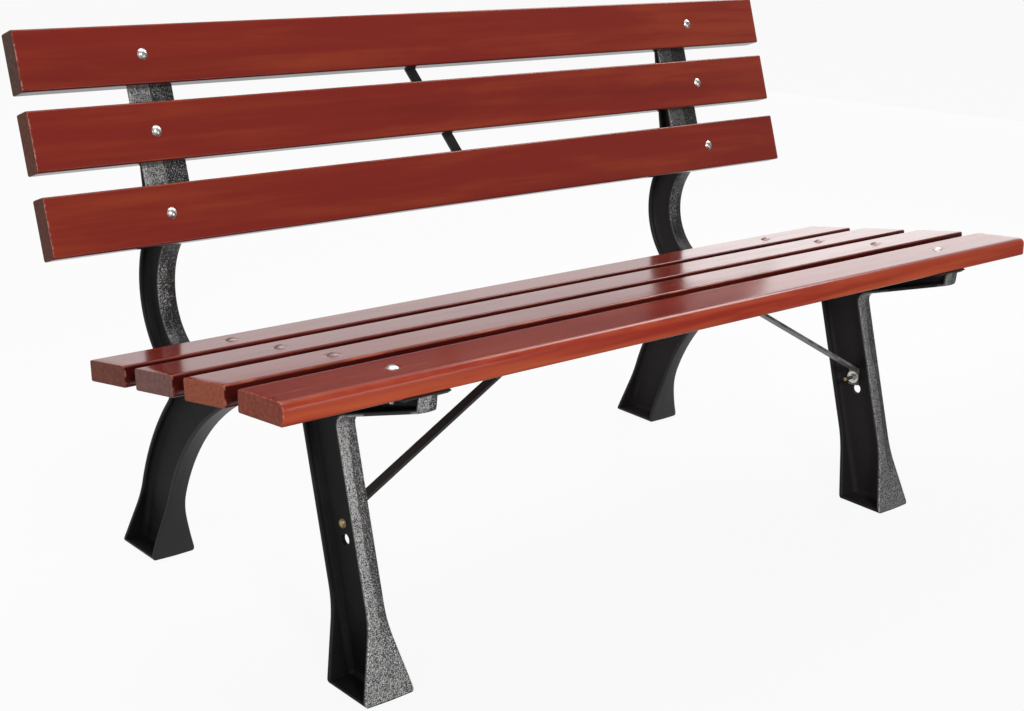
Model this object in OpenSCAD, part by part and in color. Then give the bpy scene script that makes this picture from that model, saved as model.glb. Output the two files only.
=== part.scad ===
// Garden bench: seven slats on two cast end frames, with flat steel braces.
// Millimetres. X runs along the bench, Y from front to back, Z up.
// The origin is on the ground, under the middle of the bench.

/* [Slats] */
// Length of every slat
slat_len = 1500; // [1250:10:1800]
// Width of every slat
slat_w = 80; // [70:1:90]
// Thickness of every slat
slat_t = 27; // [22:1:35]
// Radius of the slats' long edges
slat_edge_r = 3; // [2:0.5:8]
// Radius of the front slat's top front edge
nose_r = 9; // [3:0.5:12]

/* [Seat] */
// Height of the seat rail's front tip, where the front slat bears
seat_rail_h = 406.8; // [370:0.1:440]
// Tilt of the front slat, down to the rear
front_tilt = 6.2; // [2:0.1:10]
// Tilt of the other seat slats, down to the rear
seat_tilt = 10.9; // [6:0.1:14]
// Gap between seat slats, along the bearing faces
seat_gap = 24; // [14:1:30]
// Distance from the rail's tip to the front slat
slat_setback = 1; // [0:0.5:10]
// Length of bearing plate behind the rear seat slat
seat_plate_end = 4; // [1:0.5:12]

/* [Back] */
// Lean of the back, from upright
back_lean = 21.8; // [16:0.1:26]
// Distance from the rail's tip to the lowest back slat's lower rear edge
back_y = 505.3; // [490:0.1:530]
// Height of that edge above the seat's plane
back_rise = 146.1; // [130:0.1:165]
// Gap between the bottom and the middle back slat
back_gap_low = 30.5; // [16:0.5:40]
// Gap between the middle and the top back slat
back_gap_high = 23.5; // [16:0.5:40]
// Distance from the lowest back slat's lower edge to the end of the bend
back_plate_start = 11.2; // [6:0.1:24]
// Distance from the upright's top to the highest slat's top edge
upright_drop = 7.7; // [2:0.1:16]

/* [End frames] */
// Distance between the webs of the two end frames
frame_spacing = 1084; // [900:2:1160]
// Thickness of the web
web_t = 6; // [5:0.5:9]
// Thickness of the flanges round the web
flange_t = 6; // [5:0.5:9]
// Width of the flanges
flange_w = 28; // [24:1:40]
// Width of the plates that carry the slats
plate_w = 70; // [60:1:80]
// Thickness of the plates that carry the slats
plate_t = 5; // [4:0.5:8]
// Depth of the seat rail above the arch
rail_d = 52.5; // [46:0.5:62]
// Depth of the rail's front tip
tip_d = 22; // [20:0.5:28]
// Depth of the rail where it meets the front leg
arm_root_d = 49; // [40:0.5:58]
// Radius of the rail's lower front corner
tip_r = 3; // [1:0.5:6]
// Radius between the end wall of the rail and the plate above it
tip_fillet_r = 9; // [4:0.5:12]

/* [Front leg] */
// Distance from the rail's tip back to the toe
toe_y = 23.3; // [10:0.1:40]
// Front to back depth of the leg
leg_d = 76; // [66:1:86]
// Lean of the leg, back from the toe
leg_lean = 19.5; // [14:0.1:22]
// Fillet under the rail, in front of the leg
arm_fillet_r = 12; // [6:1:18]
// Fillet under the rail, behind the leg
arch_fillet_r = 18; // [8:1:26]

/* [Rear leg] */
// Distance from the rail's tip to the middle of the arch
arch_y = 208; // [200:1:216]
// Radius of the arch between the legs
arch_r = 292; // [278:1:300]
// Depth of the rear leg
rear_leg_d = 73; // [64:1:82]
// How far the heel reaches behind the leg's curve
heel_out = 14; // [3:1:20]
// Height at which the heel begins
heel_h = 97; // [50:1:110]

/* [Upright] */
// Inner radius of the bend between seat and back
bend_r = 103; // [96:1:110]
// Depth of the bend
bend_d = 52; // [44:1:60]
// Angle at which the bend meets the back's plane
bend_top = 40; // [36:1:44]
// Depth of the upright at its top
upright_top_d = 19; // [17:1:26]
// Taper of the upright
upright_taper = 7.8; // [6:0.1:9]
// Fillet between the seat's plane and the bend
seat_fillet_r = 15; // [8:1:22]
// Fillet behind the bend, below the upright's taper
nape_fillet_r = 90; // [60:1:120]
// Fillet behind the bend, above the rear leg
waist_fillet_r = 25; // [14:1:36]

/* [Feet] */
// Width of the front feet
front_foot_w = 82; // [70:1:92]
// Width of the rear feet
rear_foot_w = 75; // [60:1:84]
// Angle of the feet's flare
flare_angle = 16.5; // [14:0.5:20]
// Radius between the flare and the flange
flare_r = 150; // [100:5:200]

/* [Slat bolts] */
// Distance from the web to the slat bolts, on the outer side
bolt_offset = 20; // [16:0.5:24]
// Diameter of the bolts' shank
bolt_d = 6; // [5:0.5:8]
// Clearance between a shank and its holes, all round
bolt_clear = 0.5; // [0.2:0.1:1]
// Diameter of the domed head
head_d = 16.5; // [14:0.5:20]
// Height of the domed head
head_h = 3.9; // [3:0.1:5]
// Depth to which the head is sunk in the slat
head_sink = 0.8; // [0:0.1:2]
// Side of the square neck under the head
neck_w = 6.4; // [6:0.1:9]
// Length of the square neck
neck_h = 4.5; // [2:0.1:6]
// Diameter of the washers
washer_d = 12.5; // [11:0.5:16]
// Thickness of the washers
washer_t = 1.6; // [1:0.1:2.5]
// Width across the flats of the nuts
nut_w = 10; // [9:0.5:13]
// Height of the nuts
nut_h = 5; // [4:0.5:8]
// Thread standing out of the nuts
thread_out = 4; // [1:0.5:10]

/* [Braces] */
// Width of the brace bars
brace_w = 16; // [14:1:24]
// Thickness of the brace bars
brace_t = 4; // [3:0.5:5]
// Height of the brace screw on the front leg
brace_screw_h = 197; // [185:1:230]
// Length of the lower tab above and below its screw
brace_tab = 13; // [11:0.5:18]
// Distance from the middle of the bench to the brace's upper bend
brace_top_x = 192; // [120:1:280]
// Lean of the braces, from upright
brace_lean = 7; // [2:0.5:14]
// Length of the brace's upper tab
brace_top_tab = 44; // [36:1:60]
// Diameter of the brace screw's head
screw_head_d = 14; // [12:0.5:18]
// Height of the brace screw's head
screw_head_h = 4; // [2.5:0.5:5]
// Diameter of the washer under the brace nut
brace_washer_d = 20; // [16:0.5:22]
// Thread standing out of the brace nut
brace_thread_out = 16; // [4:1:24]
// Diameter of the spare hole in the front leg's web
spare_hole_d = 15; // [9:0.5:16]
// Distance from the brace screw down to the spare hole
spare_hole_drop = 19; // [18.5:0.5:30]

/* [Tie bar] */
// Width of the tie bar behind the back
tie_w = 18; // [14:1:26]
// Thickness of the tie bar
tie_t = 3; // [2:0.5:5]
// Distance of the tie bar's middle from the middle of the bench
tie_x = -40; // [-120:1:120]
// Angle of the tie bar, from the upright
tie_angle = 26.5; // [10:0.5:40]
// Length of the tie bar beyond its end screws
tie_end = 14; // [8:0.5:20]

/* [Wood screws] */
// Diameter of the wood screws' shank
wood_screw_d = 4; // [3:0.5:5]
// Diameter of the wood screws' head
wood_head_d = 8; // [6.5:0.5:10]
// Height of the wood screws' head
wood_head_h = 2.6; // [1.5:0.1:3.5]
// Depth to which the wood screws reach into a slat
wood_screw_reach = 16; // [10:0.5:18]
// Distance between the two screws of a brace's upper tab
brace_screw_pitch = 22; // [16:1:28]

/* [Hidden] */

$fn = 48;
eps = 0.01;
// clearance between a head, neck or wood screw and its pocket or hole, all round
pocket_clear = 0.15;
// clearance between a nut's bore and the shank, all round
thread_clear = 0.1;
// how much wider the washers' bore is than the shank
washer_play = 0.4;
// width of a wood screw's head at its face, as a share of its full width
wood_head_taper = 0.8;
// extra thickness of the bearing plates at their ends
plate_lip = 0.5;

wood_color = [0.50, 0.16, 0.12];
iron_color = [0.16, 0.16, 0.17];
zinc_color = [0.80, 0.80, 0.78];
yellow_zinc_color = [0.72, 0.62, 0.46];

// ---- plane geometry: points are [y, z] in the side view ----
function unit(a) = [cos(a), sin(a)];
function angle_of(v) = atan2(v[1], v[0]);
function left_of(v) = [-v[1], v[0]];
// smaller angle from direction a to direction b
function turn(a, b) = ((b - a) % 360 + 540) % 360 - 180;
// points of an arc about c, the short way from direction u to direction v
function arc(c, r, u, v, n) =
    let (a = angle_of(u), t = turn(a, angle_of(v)))
    [for (i = [0:n]) c + r * unit(a + t * i / n)];
// point on the line through p along u, at distance q from c; side picks the solution
function on_line(p, u, c, q, side) =
    let (w = p - c, b = w * u)
    p + (-b + side * sqrt(max(b * b - w * w + q * q, 0))) * u;
// point at distance q1 from c1 and q2 from c2, on the left or the right of c1 to c2
function on_circles(c1, q1, c2, q2, side) =
    let (d = norm(c2 - c1), u = (c2 - c1) / d, a = (d * d + q1 * q1 - q2 * q2) / (2 * d))
    c1 + a * u + side * sqrt(q1 * q1 - a * a) * left_of(u);
// point where the lines through p and q, along u and v, cross
function crossing(p, u, q, v) =
    let (n = left_of(v))
    p + ((q - p) * n) / (u * n) * u;

// ---- the seat's and the back's bearing planes ----
front_u = unit(-front_tilt);
seat_u = unit(-seat_tilt);
seat_n = left_of(seat_u);
tip = [0, seat_rail_h];
// the seat's planes meet in the middle of the first gap
seat_break = tip + (slat_setback + slat_w + seat_gap / 2) * front_u;
function seat_z(y) = seat_break[1] - (y - seat_break[0]) * tan(seat_tilt);
seat_pitch = slat_w + seat_gap;
seat_plate_len = seat_gap / 2 + 3 * slat_w + 2 * seat_gap + seat_plate_end;

back_u = unit(90 - back_lean);
back_n = -left_of(back_u);
back_p = [back_y, seat_z(back_y) + back_rise];
// where each back slat's lower edge lies along the back's plane
back_steps = [0, slat_w + back_gap_low, 2 * slat_w + back_gap_low + back_gap_high];
back_plate_top = back_steps[2] + slat_w - upright_drop;

// each slat's lower front corner on its bearing plane, and the plane's angle;
// a back slat's corner is its lower rear edge
seat_slats = [
    [tip + slat_setback * front_u, -front_tilt],
    for (i = [0:2]) [seat_break + (seat_gap / 2 + i * seat_pitch) * seat_u, -seat_tilt]];
back_slats = [for (s = back_steps) [back_p + s * back_u, 90 - back_lean]];

// ---- the casting's side view ----
leg_u = unit(90 - leg_lean);
leg_front = [toe_y, 0];
leg_rear = [toe_y + leg_d, 0];
arch_c = [arch_y, seat_z(arch_y) - rail_d - arch_r];
heel_r = arch_r + rear_leg_d;
heel_y = arch_y + sqrt(heel_r * heel_r - pow(heel_h - arch_c[1], 2)) + heel_out;

bend_end = back_p + back_plate_start * back_u;
bend_c = bend_end - bend_r * unit(bend_top);
bend_out_r = bend_r + bend_d;

upright_top = back_p + back_plate_top * back_u;
upright_rear = upright_top + upright_top_d * back_n;
taper_u = unit(90 - back_lean + upright_taper);
taper_n = -left_of(taper_u);

tip_low = tip - [0, tip_d];
arm_root = crossing([0, seat_z(toe_y) - arm_root_d], seat_u, leg_front, leg_u);
arm_u = (arm_root - tip_low) / norm(arm_root - tip_low);
arm_n = -left_of(arm_u);

// centres of the fillets
seat_fillet_c = on_line(seat_break + seat_fillet_r * seat_n, seat_u, bend_c,
    bend_r - seat_fillet_r, 1);
nape_fillet_c = on_line(upright_rear + nape_fillet_r * taper_n, taper_u, bend_c,
    bend_out_r + nape_fillet_r, 1);
waist_fillet_c = on_circles(bend_c, bend_out_r + waist_fillet_r, arch_c,
    heel_r + waist_fillet_r, 1);
arch_fillet_c = on_line(leg_rear - arch_fillet_r * left_of(leg_u), leg_u, arch_c,
    arch_r - arch_fillet_r, 1);
arm_fillet_c = crossing(tip_low + arm_fillet_r * arm_n, arm_u,
    leg_front + arm_fillet_r * left_of(leg_u), leg_u);

// Outline of the casting, drawn in by g on its flanges and by p on its bearing planes.
// Every curve keeps its centre, so the walls keep their thickness all the way round.
function outline(g, p) =
    let (
        seat_in = seat_break - p * seat_n,
        front_in = tip - p * left_of(front_u),
        back_in = back_p + p * back_n,
        seat_end = on_line(seat_in, seat_u, seat_fillet_c, seat_fillet_r + g, -1),
        plate_foot = on_line(back_in, back_u, bend_c, bend_r + g, 1),
        top_in = upright_top - g * back_u + p * back_n,
        taper_in = upright_rear - g * taper_n,
        top_rear = crossing(taper_in, taper_u, top_in, back_n),
        sole_in = arch_c[1] - g,
        heel_top = sqrt(pow(heel_r - g, 2) - pow(heel_h - arch_c[1], 2)),
        arch_foot = sqrt(pow(arch_r + g, 2) - sole_in * sole_in),
        leg_rear_in = leg_rear + g * left_of(leg_u),
        leg_front_in = leg_front - g * left_of(leg_u),
        arm_in = tip_low - g * arm_n,
        corner_r = max(tip_r - g, 0),
        corner_c = crossing([g + corner_r, 0], [0, 1], arm_in - corner_r * arm_n, arm_u))
    concat(
        [crossing([g, 0], [0, 1], front_in, front_u)],
        [crossing(front_in, front_u, seat_in, seat_u)],
        arc(seat_fillet_c, seat_fillet_r + g, seat_end - seat_fillet_c, seat_fillet_c - bend_c, 4),
        arc(bend_c, bend_r + g, seat_fillet_c - bend_c, plate_foot - bend_c, 16),
        [top_in, top_rear],
        arc(nape_fillet_c, nape_fillet_r + g, -taper_n, bend_c - nape_fillet_c, 5),
        arc(bend_c, bend_out_r - g, nape_fillet_c - bend_c, waist_fillet_c - bend_c, 14),
        arc(waist_fillet_c, waist_fillet_r + g, bend_c - waist_fillet_c, arch_c - waist_fillet_c, 6),
        arc(arch_c, heel_r - g, waist_fillet_c - arch_c, [heel_top, heel_h - arch_c[1]], 9),
        [[heel_y - g, g]],
        arc(arch_c, arch_r + g, [arch_foot, -sole_in], arch_fillet_c - arch_c, 18),
        arc(arch_fillet_c, arch_fillet_r + g, arch_fillet_c - arch_c, left_of(leg_u), 5),
        [crossing(leg_rear_in, leg_u, [0, g], [1, 0])],
        [crossing(leg_front_in, leg_u, [0, g], [1, 0])],
        arc(arm_fillet_c, arm_fillet_r + g, -left_of(leg_u), -arm_n, 5),
        corner_r > 0 ? arc(corner_c, corner_r, arm_n, [-1, 0], 3) : [corner_c]);

// how far the middle of the bench lies behind the rail's tip
middle_y = upright_rear[0] / 2;

// ---- fasteners, drawn along +Z with the bearing face at z = 0 ----
grip = slat_t - head_sink + plate_t;
bolt_len = grip + washer_t + nut_h + thread_out;
hole_d = bolt_d + 2 * bolt_clear;

// brace: a side view's [y, z], a run up to the slat's underside along the brace's lean
web_in_x = frame_spacing / 2 - web_t / 2;
leg_mid = leg_front + [leg_d / 2, 0];
brace_hole = crossing(leg_mid, leg_u, [0, brace_screw_h], [1, 0]);
spare_hole = crossing(leg_mid, leg_u, [0, brace_screw_h - spare_hole_drop], [1, 0]);
brace_u = unit(90 - brace_lean);
brace_seat = crossing(brace_hole, brace_u, seat_break, seat_u);
brace_rise = norm(brace_seat - brace_hole);
brace_grip = web_t + brace_t;
brace_screws_x = [for (i = [0:1])
    brace_top_x - (brace_top_tab - brace_screw_pitch) / 2 - i * brace_screw_pitch];

// tie bar: places along the back's plane
tie_rows = [for (s = back_steps) s + slat_w / 2];
function tie_row_x(s) = tie_x - (s - tie_rows[1]) * tan(tie_angle);

// Puts children at x and at the side view's point p, tilted by a.
module place(x, p, a) {
    translate([x, p[0], p[1]]) rotate([a, 0, 0]) children();
}

// The same, in the bench's frame.
module at_side(x, p, a) {
    translate([0, -middle_y, 0]) place(x, p, a) children();
}

// Extrudes a side view along X, centred on x = 0.
module along_x(w) {
    translate([-w / 2, 0, 0]) rotate([90, 0, 90]) linear_extrude(w) children();
}

module slat_profile(nose) {
    polygon(concat(
        arc([slat_edge_r, slat_edge_r], slat_edge_r, [-1, 0], [0, -1], 5),
        arc([slat_w - slat_edge_r, slat_edge_r], slat_edge_r, [0, -1], [1, 0], 5),
        arc([slat_w - slat_edge_r, slat_t - slat_edge_r], slat_edge_r, [1, 0], [0, 1], 5),
        arc([nose, slat_t - nose], nose, [0, 1], [-1, 0], 6)));
}

// Pocket for a domed head, its square neck and its shank, below z = slat_t.
module bolt_pocket() {
    translate([0, 0, -1]) cylinder(d = hole_d, h = slat_t + 2);
    translate([0, 0, slat_t - head_sink]) cylinder(d = head_d + 2 * pocket_clear, h = head_sink + 1);
    translate([0, 0, slat_t - head_sink - neck_h - pocket_clear])
        linear_extrude(neck_h + pocket_clear + 1) square(neck_w + 2 * pocket_clear, center = true);
}

// A slat lying on z = 0, its front edge at y = 0.
module slat(nose) {
    color(wood_color) difference() {
        translate([-slat_len / 2, 0, 0]) rotate([90, 0, 90]) linear_extrude(slat_len)
            slat_profile(nose);
        for (s = [-1, 1]) translate([s * (frame_spacing / 2 + bolt_offset), slat_w / 2, 0])
            bolt_pocket();
        children();
    }
}

module seat_slat(i, nose) {
    at_side(0, seat_slats[i][0], seat_slats[i][1]) slat(nose) children();
}

// A back slat lies on the back's plane with its face to the front.
module back_slat(i) {
    at_side(0, back_slats[i][0], back_slats[i][1]) slat(slat_edge_r) {
        translate([tie_row_x(tie_rows[i]), slat_w / 2, -1])
            cylinder(d = wood_screw_d + 2 * pocket_clear, h = wood_screw_reach + 2);
    }
}

module coach_bolt() {
    color(zinc_color) {
        translate([0, 0, slat_t - head_sink]) intersection() {
            cap_r = (head_d * head_d / 4 + head_h * head_h) / (2 * head_h);
            translate([0, 0, head_h - cap_r]) sphere(cap_r);
            cylinder(d = head_d, h = head_h);
        }
        translate([0, 0, slat_t - head_sink - neck_h]) linear_extrude(neck_h + eps)
            square(neck_w, center = true);
        translate([0, 0, slat_t - head_sink - bolt_len]) cylinder(d = bolt_d, h = bolt_len);
    }
}

module washer(d) {
    color(zinc_color) translate([0, 0, -washer_t]) difference() {
        cylinder(d = d, h = washer_t);
        translate([0, 0, -1]) cylinder(d = bolt_d + washer_play, h = washer_t + 2);
    }
}

module nut() {
    color(zinc_color) translate([0, 0, -nut_h]) difference() {
        cylinder(d = nut_w / cos(30), h = nut_h, $fn = 6);
        translate([0, 0, -1]) cylinder(d = bolt_d + 2 * thread_clear, h = nut_h + 2);
    }
}

// Puts children at both ends of the seat's slats i or the back's slats i.
module at_bolts(rows, picks) {
    for (i = picks, s = [-1, 1])
        at_side(s * (frame_spacing / 2 + bolt_offset), rows[i][0] + slat_w / 2 * unit(rows[i][1]),
            rows[i][1]) children();
}

// ---- end frames, drawn with the rail's tip at y = 0 ----
// Polygon through the points of a right-hand side and their mirror images.
module both_sides(side) {
    polygon(concat(side, [for (i = [len(side) - 1:-1:0]) [-side[i][0], side[i][1]]]));
}

// Front view of the flanges: straight above, flared at the foot.
module flange_front_view(foot_w) {
    half = flange_w / 2;
    bow = flare_r * (1 - cos(flare_angle));
    flare_h = (foot_w / 2 - half - bow) / tan(flare_angle);
    both_sides(concat([[foot_w / 2, 0]],
        arc([half + flare_r, flare_h + flare_r * sin(flare_angle)], flare_r,
            -unit(flare_angle), [-1, 0], 6),
        [[half, upright_top[1] + flange_t]]));
}

// End wall of the rail: narrow below, with fillets up to the plate.
module tip_front_view() {
    half = flange_w / 2;
    under = seat_rail_h - plate_t;
    both_sides(concat([[half, seat_rail_h - tip_d + tip_r]],
        arc([half + tip_fillet_r, under - tip_fillet_r], tip_fillet_r, [-1, 0], [0, 1], 5),
        [[plate_w / 2, under]]));
}

// Part of the flanged profile from y = a to y = b, with its foot's width.
module flanged(foot_w, a, b) {
    intersection() {
        along_x(foot_w) polygon(outline(0, 0));
        translate([0, b, 0]) rotate([90, 0, 0]) linear_extrude(b - a) flange_front_view(foot_w);
    }
}

// A bearing plate along the outline's edge, from a to b past p in direction t.
// Its ends keep a thin lip below, where the web's recess doesn't reach.
module bearing_plate(p, t, a, b) {
    along_x(plate_w) intersection() {
        polygon(outline(0, 0));
        translate(p) rotate(t) translate([a, -plate_t - plate_lip])
            square([b - a, 2 * plate_t + plate_lip]);
    }
}

module end_frame() {
    color(iron_color) translate([0, -middle_y, 0]) difference() {
        union() {
            flanged(front_foot_w, -flange_t, arch_y);
            flanged(rear_foot_w, arch_y, upright_rear[0] + flange_t);
            translate([0, flange_t, 0]) rotate([90, 0, 0]) linear_extrude(flange_t)
                tip_front_view();
            bearing_plate(tip, -front_tilt, -flange_t, norm(seat_break - tip) + flange_t);
            bearing_plate(seat_break, -seat_tilt, -flange_t, seat_plate_len);
            bearing_plate(back_p, 90 - back_lean, back_plate_start + plate_t,
                back_plate_top + flange_t);
        }
        for (s = [-1, 1]) translate([s * (web_t + front_foot_w) / 2, 0, 0])
            along_x(front_foot_w) polygon(outline(flange_t, plate_t));
        place(0, brace_hole, 0) rotate([0, 90, 0]) cylinder(d = hole_d, h = web_t + 2, center = true);
        place(0, spare_hole, 0) rotate([0, 90, 0])
            cylinder(d = spare_hole_d, h = web_t + 2, center = true);
        for (r = concat(seat_slats, back_slats))
            place(bolt_offset, r[0] + slat_w / 2 * unit(r[1]), r[1])
                translate([0, 0, -plate_t - 1]) cylinder(d = hole_d, h = plate_t + 2);
    }
}

module end_frame_left() {
    translate([-frame_spacing / 2, 0, 0]) mirror([1, 0, 0]) end_frame();
}

module end_frame_right() {
    translate([frame_spacing / 2, 0, 0]) end_frame();
}

// ---- slats ----
module seat_slat_front() { seat_slat(0, nose_r); }

module seat_slat_front_middle() {
    place = (brace_seat - seat_slats[1][0]) * seat_u;
    seat_slat(1, slat_edge_r) {
        for (s = [-1, 1], x = brace_screws_x) translate([s * x, place, -1])
            cylinder(d = wood_screw_d + 2 * pocket_clear, h = wood_screw_reach + 2);
    }
}

module seat_slat_rear_middle() { seat_slat(2, slat_edge_r); }
module seat_slat_rear() { seat_slat(3, slat_edge_r); }
module back_slat_bottom() { back_slat(0); }
module back_slat_middle() { back_slat(1); }
module back_slat_top() { back_slat(2); }

// ---- slat fasteners ----
module bolts_seat_front() { at_bolts(seat_slats, [0]) coach_bolt(); }
module bolts_seat_front_middle() { at_bolts(seat_slats, [1]) coach_bolt(); }
module bolts_seat_rear_middle() { at_bolts(seat_slats, [2]) coach_bolt(); }
module bolts_seat_rear() { at_bolts(seat_slats, [3]) coach_bolt(); }
module bolts_back_bottom() { at_bolts(back_slats, [0]) coach_bolt(); }
module bolts_back_middle() { at_bolts(back_slats, [1]) coach_bolt(); }
module bolts_back_top() { at_bolts(back_slats, [2]) coach_bolt(); }
module washers_seat() { at_bolts(seat_slats, [0:3]) translate([0, 0, -plate_t]) washer(washer_d); }
module washers_back() { at_bolts(back_slats, [0:2]) translate([0, 0, -plate_t]) washer(washer_d); }
module nuts_seat() { at_bolts(seat_slats, [0:3]) translate([0, 0, -plate_t - washer_t]) nut(); }
module nuts_back() { at_bolts(back_slats, [0:2]) translate([0, 0, -plate_t - washer_t]) nut(); }

// ---- braces ----
// Edge view of the right-hand brace up to its upper bend, as [x, n] from the bench's
// middle and the leg screw; it runs on past the slat's underside, where it is cut off.
module brace_edge_view() {
    low = [web_in_x - brace_t / 2, brace_tab];
    high = [brace_top_x, brace_rise - brace_t / 2];
    rise = angle_of(high - low);
    // half-angle offset keeps the bar's thickness through the bend
    miter = brace_t / 2 / cos((rise - 90) / 2) * unit((rise - 90) / 2);
    past = high + 2 * brace_t * unit(rise);
    side = brace_t / 2 * unit(rise - 90);
    polygon([[web_in_x, -brace_tab], low + miter, past + side, past - side, low - miter,
        [web_in_x - brace_t, -brace_tab]]);
}

module brace() {
    color(iron_color) difference() {
        union() {
            at_side(0, brace_hole, -brace_lean) translate([0, brace_w / 2, 0])
                rotate([90, 0, 0]) linear_extrude(brace_w) brace_edge_view();
            at_side(brace_top_x - brace_top_tab, brace_seat, -seat_tilt)
                translate([0, -brace_w / 2, -brace_t]) cube([brace_top_tab, brace_w, brace_t]);
        }
        at_side(0, brace_seat, -seat_tilt) translate([0, -brace_w, 0])
            cube([frame_spacing / 2, 2 * brace_w, 4 * brace_t]);
        at_side(web_in_x - brace_t / 2, brace_hole, 0) rotate([0, 90, 0])
            cylinder(d = hole_d, h = brace_t + 2, center = true);
        for (x = brace_screws_x) at_side(x, brace_seat, -seat_tilt)
            translate([0, 0, -brace_t - 1]) cylinder(d = wood_screw_d + 2 * pocket_clear,
                h = brace_t + 2);
    }
}

module brace_left() { mirror([1, 0, 0]) brace(); }
module brace_right() { brace(); }

// Puts children on both legs' brace holes, +Z pointing out of the bench.
module at_brace_holes(x) {
    for (s = [0, 1]) mirror([s, 0, 0]) at_side(x, brace_hole, -brace_lean) rotate([0, 90, 0])
        children();
}

module brace_leg_screws() {
    shank = brace_grip + washer_t + nut_h + brace_thread_out;
    color(yellow_zinc_color) at_brace_holes(frame_spacing / 2 + web_t / 2) {
        intersection() {
            cap_r = (screw_head_d * screw_head_d / 4 + screw_head_h * screw_head_h)
                / (2 * screw_head_h);
            translate([0, 0, screw_head_h - cap_r]) sphere(cap_r);
            cylinder(d = screw_head_d, h = screw_head_h);
        }
        translate([0, 0, -shank]) cylinder(d = bolt_d, h = shank + eps);
    }
}

module brace_leg_washers() { at_brace_holes(web_in_x - brace_t) washer(brace_washer_d); }
module brace_leg_nuts() { at_brace_holes(web_in_x - brace_t - washer_t) nut(); }

// A wood screw driven towards +Z, its head under z = 0.
module wood_screw(through) {
    color(zinc_color) {
        translate([0, 0, -wood_head_h]) cylinder(d1 = wood_head_taper * wood_head_d, d2 = wood_head_d,
            h = wood_head_h);
        translate([0, 0, -eps]) cylinder(d = wood_screw_d, h = through + wood_screw_reach + eps);
    }
}

module brace_seat_screws() {
    for (s = [0, 1], x = brace_screws_x) mirror([s, 0, 0])
        at_side(x, brace_seat, -seat_tilt) translate([0, 0, -brace_t]) wood_screw(brace_t);
}

// ---- tie bar behind the back ----
module tie_bar() {
    low = (tie_rows[1] - tie_rows[0]) / cos(tie_angle) + tie_end;
    high = (tie_rows[2] - tie_rows[1]) / cos(tie_angle) + tie_end;
    color(iron_color) at_side(0, back_p, 90 - back_lean) difference() {
        translate([tie_x, tie_rows[1], -tie_t]) rotate([0, 0, tie_angle])
            translate([-tie_w / 2, -low, 0]) cube([tie_w, low + high, tie_t]);
        for (s = tie_rows) translate([tie_row_x(s), s, -tie_t - 1])
            cylinder(d = wood_screw_d + 2 * pocket_clear, h = tie_t + 2);
    }
}

module tie_bar_screws() {
    for (s = tie_rows) at_side(tie_row_x(s), back_p + s * back_u, 90 - back_lean)
        translate([0, 0, -tie_t]) wood_screw(tie_t);
}

end_frame_left();
end_frame_right();
seat_slat_front();
seat_slat_front_middle();
seat_slat_rear_middle();
seat_slat_rear();
back_slat_bottom();
back_slat_middle();
back_slat_top();
bolts_seat_front();
bolts_seat_front_middle();
bolts_seat_rear_middle();
bolts_seat_rear();
bolts_back_bottom();
bolts_back_middle();
bolts_back_top();
washers_seat();
washers_back();
nuts_seat();
nuts_back();
brace_left();
brace_right();
brace_leg_screws();
brace_leg_washers();
brace_leg_nuts();
brace_seat_screws();
tie_bar();
tie_bar_screws();
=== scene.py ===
"""Garden bench: the visible surfaces and finishes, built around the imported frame.

Metres. X runs along the bench, Y from the seat's front edge to the back, Z up.
"""

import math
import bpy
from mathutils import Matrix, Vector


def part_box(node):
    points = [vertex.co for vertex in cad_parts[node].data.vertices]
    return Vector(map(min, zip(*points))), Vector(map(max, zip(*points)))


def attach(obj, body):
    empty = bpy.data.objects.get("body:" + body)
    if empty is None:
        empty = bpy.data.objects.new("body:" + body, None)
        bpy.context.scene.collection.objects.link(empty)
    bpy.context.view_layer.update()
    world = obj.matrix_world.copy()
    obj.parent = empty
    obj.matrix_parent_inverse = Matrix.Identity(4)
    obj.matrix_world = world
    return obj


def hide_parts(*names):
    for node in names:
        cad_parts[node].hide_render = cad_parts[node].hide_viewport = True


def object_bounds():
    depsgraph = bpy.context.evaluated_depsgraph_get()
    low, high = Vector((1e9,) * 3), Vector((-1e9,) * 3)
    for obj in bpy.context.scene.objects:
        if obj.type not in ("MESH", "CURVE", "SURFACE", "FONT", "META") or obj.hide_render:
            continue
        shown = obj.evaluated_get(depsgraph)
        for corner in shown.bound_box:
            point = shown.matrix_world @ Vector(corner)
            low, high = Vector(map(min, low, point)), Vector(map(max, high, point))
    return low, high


bl_info = {
    "name": "Garden bench",
    "version": (1, 0, 0),
    "blender": (4, 5, 0),
    "location": "3D View > Sidebar > Bench",
    "description": "Slatted garden bench with cast end frames",
    "category": "Object",
}

from types import SimpleNamespace
from typing import NamedTuple

import bmesh
import bpy
import numpy as np
from bpy.props import FloatProperty, FloatVectorProperty, PointerProperty
from mathutils import Matrix, Vector
from mathutils.geometry import delaunay_2d_cdt

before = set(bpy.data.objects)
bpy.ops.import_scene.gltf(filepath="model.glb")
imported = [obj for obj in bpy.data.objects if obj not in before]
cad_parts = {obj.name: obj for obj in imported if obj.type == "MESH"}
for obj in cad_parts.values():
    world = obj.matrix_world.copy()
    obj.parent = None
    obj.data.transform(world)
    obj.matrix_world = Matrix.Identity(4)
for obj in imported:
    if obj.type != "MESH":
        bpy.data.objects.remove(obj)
CAD_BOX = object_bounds()

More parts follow.
